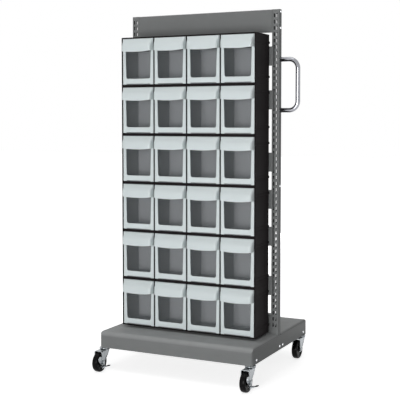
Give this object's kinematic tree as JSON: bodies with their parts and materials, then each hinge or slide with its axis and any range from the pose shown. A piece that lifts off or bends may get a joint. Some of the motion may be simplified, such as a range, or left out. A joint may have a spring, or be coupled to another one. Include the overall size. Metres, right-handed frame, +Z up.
{
  "type": "mobile bin cart",
  "caption": "Rolling stand with slotted uprights that carries stacked housings of tip-out bins, on swivel casters with foot brakes, with a side handle.",
  "frame": {"origin": "on the floor, under the middle of the base", "axes": "+X to the right along the bin fronts, where the handle is; +Y away from the person who opens the bins; +Z up"},
  "size_m": [0.7721, 0.6727, 1.4697],
  "materials": {
    "bin": "satin white moulded front with a clear pane and a grey tub",
    "housing": "black moulded plastic, fine matt",
    "frame": "grey powder coat",
    "chrome": "polished chrome tube",
    "zinc": "bright zinc plate",
    "wheel": "black tyre and hub"
  },
  "bodies": {
    "stand": {"base_cover": "frame", "base_crossbar": "frame", "base_end_left": "frame", "base_end_right": "frame", "base_front_channel": "frame", "base_rear_channel": "frame", "bin_housing_1": "housing", "bin_housing_2": "housing", "bin_housing_3": "housing", "bin_housing_4": "housing", "bin_housing_5": "housing", "bin_housing_6": "housing", "caster_bolts": "zinc", "caster_top_plates": "zinc", "frame_screws": "zinc", "handle": "chrome", "hanging_rail_1": "frame", "hanging_rail_2": "frame", "hanging_rail_3": "frame", "hanging_rail_4": "frame", "hanging_rail_5": "frame", "hanging_rail_6": "frame", "header_panel": "frame", "lower_crossmember": "frame", "upright_left": "frame", "upright_right": "frame"},
    "bin_1_1": {"bin_1_1": "bin"},
    "bin_1_2": {"bin_1_2": "bin"},
    "bin_1_3": {"bin_1_3": "bin"},
    "bin_1_4": {"bin_1_4": "bin"},
    "bin_2_1": {"bin_2_1": "bin"},
    "bin_2_2": {"bin_2_2": "bin"},
    "bin_2_3": {"bin_2_3": "bin"},
    "bin_2_4": {"bin_2_4": "bin"},
    "bin_3_1": {"bin_3_1": "bin"},
    "bin_3_2": {"bin_3_2": "bin"},
    "bin_3_3": {"bin_3_3": "bin"},
    "bin_3_4": {"bin_3_4": "bin"},
    "bin_4_1": {"bin_4_1": "bin"},
    "bin_4_2": {"bin_4_2": "bin"},
    "bin_4_3": {"bin_4_3": "bin"},
    "bin_4_4": {"bin_4_4": "bin"},
    "bin_5_1": {"bin_5_1": "bin"},
    "bin_5_2": {"bin_5_2": "bin"},
    "bin_5_3": {"bin_5_3": "bin"},
    "bin_5_4": {"bin_5_4": "bin"},
    "bin_6_1": {"bin_6_1": "bin"},
    "bin_6_2": {"bin_6_2": "bin"},
    "bin_6_3": {"bin_6_3": "bin"},
    "bin_6_4": {"bin_6_4": "bin"},
    "swivel_front_left": {"caster_fork_front_left": "zinc"},
    "wheel_front_left": {"caster_wheel_front_left": "wheel"},
    "brake_front_left": {"caster_brake_front_left": "zinc"},
    "swivel_front_right": {"caster_fork_front_right": "zinc"},
    "wheel_front_right": {"caster_wheel_front_right": "wheel"},
    "brake_front_right": {"caster_brake_front_right": "zinc"},
    "swivel_rear_left": {"caster_fork_rear_left": "zinc"},
    "wheel_rear_left": {"caster_wheel_rear_left": "wheel"},
    "swivel_rear_right": {"caster_fork_rear_right": "zinc"},
    "wheel_rear_right": {"caster_wheel_rear_right": "wheel"}
  },
  "joints": [
    {"name": "bin_1_1_tip", "type": "hinge", "parent": "stand", "child": "bin_1_1", "pos_m": [-0.2241, -0.1825, 0.178], "axis": [1, 0, 0], "range_deg": [0, 37.5]},
    {"name": "bin_1_2_tip", "type": "hinge", "parent": "stand", "child": "bin_1_2", "pos_m": [-0.0747, -0.1825, 0.178], "axis": [1, 0, 0], "range_deg": [0, 37.5]},
    {"name": "bin_1_3_tip", "type": "hinge", "parent": "stand", "child": "bin_1_3", "pos_m": [0.0747, -0.1825, 0.178], "axis": [1, 0, 0], "range_deg": [0, 37.5]},
    {"name": "bin_1_4_tip", "type": "hinge", "parent": "stand", "child": "bin_1_4", "pos_m": [0.2241, -0.1825, 0.178], "axis": [1, 0, 0], "range_deg": [0, 37.5]},
    {"name": "bin_2_1_tip", "type": "hinge", "parent": "stand", "child": "bin_2_1", "pos_m": [-0.2241, -0.1825, 0.378], "axis": [1, 0, 0], "range_deg": [0, 37.5]},
    {"name": "bin_2_2_tip", "type": "hinge", "parent": "stand", "child": "bin_2_2", "pos_m": [-0.0747, -0.1825, 0.378], "axis": [1, 0, 0], "range_deg": [0, 37.5]},
    {"name": "bin_2_3_tip", "type": "hinge", "parent": "stand", "child": "bin_2_3", "pos_m": [0.0747, -0.1825, 0.378], "axis": [1, 0, 0], "range_deg": [0, 37.5]},
    {"name": "bin_2_4_tip", "type": "hinge", "parent": "stand", "child": "bin_2_4", "pos_m": [0.2241, -0.1825, 0.378], "axis": [1, 0, 0], "range_deg": [0, 37.5]},
    {"name": "bin_3_1_tip", "type": "hinge", "parent": "stand", "child": "bin_3_1", "pos_m": [-0.2241, -0.1825, 0.578], "axis": [1, 0, 0], "range_deg": [0, 37.5]},
    {"name": "bin_3_2_tip", "type": "hinge", "parent": "stand", "child": "bin_3_2", "pos_m": [-0.0747, -0.1825, 0.578], "axis": [1, 0, 0], "range_deg": [0, 37.5]},
    {"name": "bin_3_3_tip", "type": "hinge", "parent": "stand", "child": "bin_3_3", "pos_m": [0.0747, -0.1825, 0.578], "axis": [1, 0, 0], "range_deg": [0, 37.5]},
    {"name": "bin_3_4_tip", "type": "hinge", "parent": "stand", "child": "bin_3_4", "pos_m": [0.2241, -0.1825, 0.578], "axis": [1, 0, 0], "range_deg": [0, 37.5]},
    {"name": "bin_4_1_tip", "type": "hinge", "parent": "stand", "child": "bin_4_1", "pos_m": [-0.2241, -0.1825, 0.778], "axis": [1, 0, 0], "range_deg": [0, 37.5]},
    {"name": "bin_4_2_tip", "type": "hinge", "parent": "stand", "child": "bin_4_2", "pos_m": [-0.0747, -0.1825, 0.778], "axis": [1, 0, 0], "range_deg": [0, 37.5]},
    {"name": "bin_4_3_tip", "type": "hinge", "parent": "stand", "child": "bin_4_3", "pos_m": [0.0747, -0.1825, 0.778], "axis": [1, 0, 0], "range_deg": [0, 37.5]},
    {"name": "bin_4_4_tip", "type": "hinge", "parent": "stand", "child": "bin_4_4", "pos_m": [0.2241, -0.1825, 0.778], "axis": [1, 0, 0], "range_deg": [0, 37.5]},
    {"name": "bin_5_1_tip", "type": "hinge", "parent": "stand", "child": "bin_5_1", "pos_m": [-0.2241, -0.1825, 0.978], "axis": [1, 0, 0], "range_deg": [0, 37.5]},
    {"name": "bin_5_2_tip", "type": "hinge", "parent": "stand", "child": "bin_5_2", "pos_m": [-0.0747, -0.1825, 0.978], "axis": [1, 0, 0], "range_deg": [0, 37.5]},
    {"name": "bin_5_3_tip", "type": "hinge", "parent": "stand", "child": "bin_5_3", "pos_m": [0.0747, -0.1825, 0.978], "axis": [1, 0, 0], "range_deg": [0, 37.5]},
    {"name": "bin_5_4_tip", "type": "hinge", "parent": "stand", "child": "bin_5_4", "pos_m": [0.2241, -0.1825, 0.978], "axis": [1, 0, 0], "range_deg": [0, 37.5]},
    {"name": "bin_6_1_tip", "type": "hinge", "parent": "stand", "child": "bin_6_1", "pos_m": [-0.2241, -0.1825, 1.178], "axis": [1, 0, 0], "range_deg": [0, 37.5]},
    {"name": "bin_6_2_tip", "type": "hinge", "parent": "stand", "child": "bin_6_2", "pos_m": [-0.0747, -0.1825, 1.178], "axis": [1, 0, 0], "range_deg": [0, 37.5]},
    {"name": "bin_6_3_tip", "type": "hinge", "parent": "stand", "child": "bin_6_3", "pos_m": [0.0747, -0.1825, 1.178], "axis": [1, 0, 0], "range_deg": [0, 37.5]},
    {"name": "bin_6_4_tip", "type": "hinge", "parent": "stand", "child": "bin_6_4", "pos_m": [0.2241, -0.1825, 1.178], "axis": [1, 0, 0], "range_deg": [0, 37.5]},
    {"name": "swivel_front_left", "type": "hinge", "parent": "stand", "child": "swivel_front_left", "pos_m": [-0.326, -0.2885, 0.086], "axis": [0, 0, 1], "continuous": true},
    {"name": "wheel_front_left_spin", "type": "hinge", "parent": "swivel_front_left", "child": "wheel_front_left", "pos_m": [-0.326, -0.3305, 0.04], "axis": [1, 0, 0], "continuous": true},
    {"name": "brake_front_left_press", "type": "hinge", "parent": "swivel_front_left", "child": "brake_front_left", "pos_m": [-0.326, -0.3305, 0.04], "axis": [1, 0, 0], "range_deg": [0, 25]},
    {"name": "swivel_front_right", "type": "hinge", "parent": "stand", "child": "swivel_front_right", "pos_m": [0.326, -0.2885, 0.086], "axis": [0, 0, 1], "continuous": true},
    {"name": "wheel_front_right_spin", "type": "hinge", "parent": "swivel_front_right", "child": "wheel_front_right", "pos_m": [0.326, -0.3305, 0.04], "axis": [1, 0, 0], "continuous": true},
    {"name": "brake_front_right_press", "type": "hinge", "parent": "swivel_front_right", "child": "brake_front_right", "pos_m": [0.326, -0.3305, 0.04], "axis": [1, 0, 0], "range_deg": [0, 25]},
    {"name": "swivel_rear_left", "type": "hinge", "parent": "stand", "child": "swivel_rear_left", "pos_m": [-0.326, 0.2675, 0.086], "axis": [0, 0, 1], "continuous": true},
    {"name": "wheel_rear_left_spin", "type": "hinge", "parent": "swivel_rear_left", "child": "wheel_rear_left", "pos_m": [-0.326, 0.2255, 0.04], "axis": [1, 0, 0], "continuous": true},
    {"name": "swivel_rear_right", "type": "hinge", "parent": "stand", "child": "swivel_rear_right", "pos_m": [0.326, 0.2675, 0.086], "axis": [0, 0, 1], "continuous": true},
    {"name": "wheel_rear_right_spin", "type": "hinge", "parent": "swivel_rear_right", "child": "wheel_rear_right", "pos_m": [0.326, 0.2255, 0.04], "axis": [1, 0, 0], "continuous": true}
  ]
}
